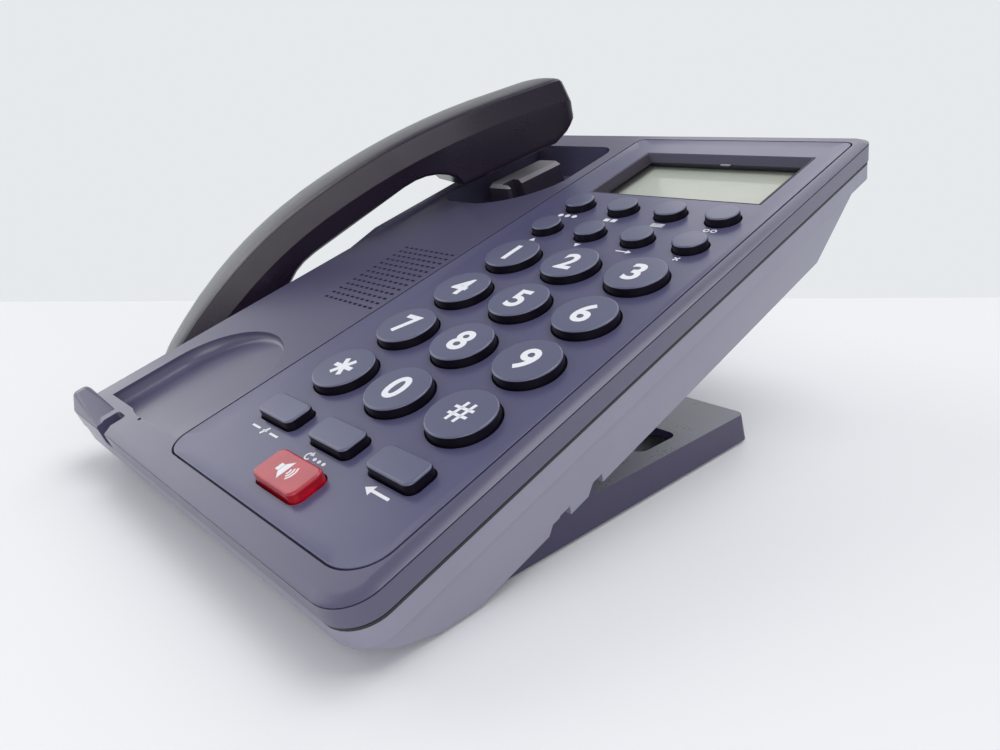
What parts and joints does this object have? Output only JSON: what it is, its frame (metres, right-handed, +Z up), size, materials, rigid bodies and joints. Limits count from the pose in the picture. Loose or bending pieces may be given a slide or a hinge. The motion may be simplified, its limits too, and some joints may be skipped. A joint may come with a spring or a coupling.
{
  "type": "corded telephone",
  "caption": "Corded push-button desk telephone with caller display, hands-free key, hook lever and wedge stand, its handset laid aside against the base.",
  "frame": {"origin": "centre of the front foot strip's underside, on the desk", "axes": "+Z up from the desk, +Y from the keys towards the display, +X to the user's right"},
  "size_m": [0.2026, 0.2091, 0.1113],
  "materials": {
    "case_plastic": "fine matte spark texture, plum grey",
    "panel_plastic": "fine matte spark texture, plum grey",
    "under_plastic": "matte, plum grey",
    "stand_plastic": "satin, plum grey",
    "handset_plastic": "satin plum with soft reflections",
    "key_plastic": "satin, dark slate",
    "red_plastic": "translucent red, glossy",
    "surround_plastic": "satin, plum grey",
    "clear_window": "clear, glossy",
    "display": "grey-green, blank",
    "black_plastic": "matte black",
    "rubber": "matte black",
    "board": "lacquered laminate",
    "steel": "bright plated"
  },
  "bodies": {
    "base": {"upper_shell": "case_plastic", "lower_shell": "under_plastic", "key_panel": "panel_plastic", "display_bezel": "surround_plastic", "display_window": "clear_window", "display_glass": "display", "main_board": "board", "key_mat": "rubber", "speaker_lamp": "red_plastic", "loudspeaker": "black_plastic", "hands_free_microphone": "steel", "hook_switch": "black_plastic", "line_jack": "black_plastic", "handset_cord_jack": "black_plastic", "front_foot": "rubber", "stand_feet": "rubber", "tilt_stand": "stand_plastic", "case_screws": "steel", "board_screws": "steel"},
    "handset": {"handset_back": "handset_plastic", "handset_front": "handset_plastic", "receiver_capsule": "black_plastic", "microphone_capsule": "steel", "handset_weight": "steel", "handset_jack": "black_plastic", "handset_screws": "steel"},
    "hook": {"hook_lever": "case_plastic"},
    "key_1": {"key_1": "key_plastic"},
    "key_2": {"key_2": "key_plastic"},
    "key_3": {"key_3": "key_plastic"},
    "key_4": {"key_4": "key_plastic"},
    "key_5": {"key_5": "key_plastic"},
    "key_6": {"key_6": "key_plastic"},
    "key_7": {"key_7": "key_plastic"},
    "key_8": {"key_8": "key_plastic"},
    "key_9": {"key_9": "key_plastic"},
    "key_star": {"key_star": "key_plastic"},
    "key_0": {"key_0": "key_plastic"},
    "key_hash": {"key_hash": "key_plastic"},
    "round_key_1": {"round_key_1": "key_plastic"},
    "round_key_2": {"round_key_2": "key_plastic"},
    "round_key_3": {"round_key_3": "key_plastic"},
    "round_key_4": {"round_key_4": "key_plastic"},
    "round_key_5": {"round_key_5": "key_plastic"},
    "round_key_6": {"round_key_6": "key_plastic"},
    "round_key_7": {"round_key_7": "key_plastic"},
    "round_key_8": {"round_key_8": "key_plastic"},
    "flash_key": {"flash_key": "key_plastic"},
    "redial_key": {"redial_key": "key_plastic"},
    "back_key": {"back_key": "key_plastic"},
    "speaker_key": {"speaker_key": "red_plastic"}
  },
  "joints": [
    {"name": "handset_lift", "type": "slide", "parent": "base", "child": "handset", "axis": [0, 0, 1], "range_m": [0, 0.12]},
    {"name": "hook_press", "type": "slide", "parent": "base", "child": "hook", "axis": [0, 0.3338, -0.9426], "range_m": [0, 0.004], "stiffness_N_per_m": 200, "springref_m": -0.002},
    {"name": "key_1_press", "type": "slide", "parent": "base", "child": "key_1", "axis": [0, 0.3338, -0.9426], "range_m": [0, 0.0015], "stiffness_N_per_m": 300, "springref_m": -0.0006},
    {"name": "key_2_press", "type": "slide", "parent": "base", "child": "key_2", "axis": [0, 0.3338, -0.9426], "range_m": [0, 0.0015], "stiffness_N_per_m": 300, "springref_m": -0.0006},
    {"name": "key_3_press", "type": "slide", "parent": "base", "child": "key_3", "axis": [0, 0.3338, -0.9426], "range_m": [0, 0.0015], "stiffness_N_per_m": 300, "springref_m": -0.0006},
    {"name": "key_4_press", "type": "slide", "parent": "base", "child": "key_4", "axis": [0, 0.3338, -0.9426], "range_m": [0, 0.0015], "stiffness_N_per_m": 300, "springref_m": -0.0006},
    {"name": "key_5_press", "type": "slide", "parent": "base", "child": "key_5", "axis": [0, 0.3338, -0.9426], "range_m": [0, 0.0015], "stiffness_N_per_m": 300, "springref_m": -0.0006},
    {"name": "key_6_press", "type": "slide", "parent": "base", "child": "key_6", "axis": [0, 0.3338, -0.9426], "range_m": [0, 0.0015], "stiffness_N_per_m": 300, "springref_m": -0.0006},
    {"name": "key_7_press", "type": "slide", "parent": "base", "child": "key_7", "axis": [0, 0.3338, -0.9426], "range_m": [0, 0.0015], "stiffness_N_per_m": 300, "springref_m": -0.0006},
    {"name": "key_8_press", "type": "slide", "parent": "base", "child": "key_8", "axis": [0, 0.3338, -0.9426], "range_m": [0, 0.0015], "stiffness_N_per_m": 300, "springref_m": -0.0006},
    {"name": "key_9_press", "type": "slide", "parent": "base", "child": "key_9", "axis": [0, 0.3338, -0.9426], "range_m": [0, 0.0015], "stiffness_N_per_m": 300, "springref_m": -0.0006},
    {"name": "key_star_press", "type": "slide", "parent": "base", "child": "key_star", "axis": [0, 0.3338, -0.9426], "range_m": [0, 0.0015], "stiffness_N_per_m": 300, "springref_m": -0.0006},
    {"name": "key_0_press", "type": "slide", "parent": "base", "child": "key_0", "axis": [0, 0.3338, -0.9426], "range_m": [0, 0.0015], "stiffness_N_per_m": 300, "springref_m": -0.0006},
    {"name": "key_hash_press", "type": "slide", "parent": "base", "child": "key_hash", "axis": [0, 0.3338, -0.9426], "range_m": [0, 0.0015], "stiffness_N_per_m": 300, "springref_m": -0.0006},
    {"name": "round_key_1_press", "type": "slide", "parent": "base", "child": "round_key_1", "axis": [0, 0.3338, -0.9426], "range_m": [0, 0.0015], "stiffness_N_per_m": 300, "springref_m": -0.0006},
    {"name": "round_key_2_press", "type": "slide", "parent": "base", "child": "round_key_2", "axis": [0, 0.3338, -0.9426], "range_m": [0, 0.0015], "stiffness_N_per_m": 300, "springref_m": -0.0006},
    {"name": "round_key_3_press", "type": "slide", "parent": "base", "child": "round_key_3", "axis": [0, 0.3338, -0.9426], "range_m": [0, 0.0015], "stiffness_N_per_m": 300, "springref_m": -0.0006},
    {"name": "round_key_4_press", "type": "slide", "parent": "base", "child": "round_key_4", "axis": [0, 0.3338, -0.9426], "range_m": [0, 0.0015], "stiffness_N_per_m": 300, "springref_m": -0.0006},
    {"name": "round_key_5_press", "type": "slide", "parent": "base", "child": "round_key_5", "axis": [0, 0.3338, -0.9426], "range_m": [0, 0.0015], "stiffness_N_per_m": 300, "springref_m": -0.0006},
    {"name": "round_key_6_press", "type": "slide", "parent": "base", "child": "round_key_6", "axis": [0, 0.3338, -0.9426], "range_m": [0, 0.0015], "stiffness_N_per_m": 300, "springref_m": -0.0006},
    {"name": "round_key_7_press", "type": "slide", "parent": "base", "child": "round_key_7", "axis": [0, 0.3338, -0.9426], "range_m": [0, 0.0015], "stiffness_N_per_m": 300, "springref_m": -0.0006},
    {"name": "round_key_8_press", "type": "slide", "parent": "base", "child": "round_key_8", "axis": [0, 0.3338, -0.9426], "range_m": [0, 0.0015], "stiffness_N_per_m": 300, "springref_m": -0.0006},
    {"name": "flash_key_press", "type": "slide", "parent": "base", "child": "flash_key", "axis": [0, 0.3338, -0.9426], "range_m": [0, 0.0015], "stiffness_N_per_m": 300, "springref_m": -0.0006},
    {"name": "redial_key_press", "type": "slide", "parent": "base", "child": "redial_key", "axis": [0, 0.3338, -0.9426], "range_m": [0, 0.0015], "stiffness_N_per_m": 300, "springref_m": -0.0006},
    {"name": "back_key_press", "type": "slide", "parent": "base", "child": "back_key", "axis": [0, 0.3338, -0.9426], "range_m": [0, 0.0015], "stiffness_N_per_m": 300, "springref_m": -0.0006},
    {"name": "speaker_key_press", "type": "slide", "parent": "base", "child": "speaker_key", "axis": [0, 0.3338, -0.9426], "range_m": [0, 0.0015], "stiffness_N_per_m": 300, "springref_m": -0.0006}
  ]
}
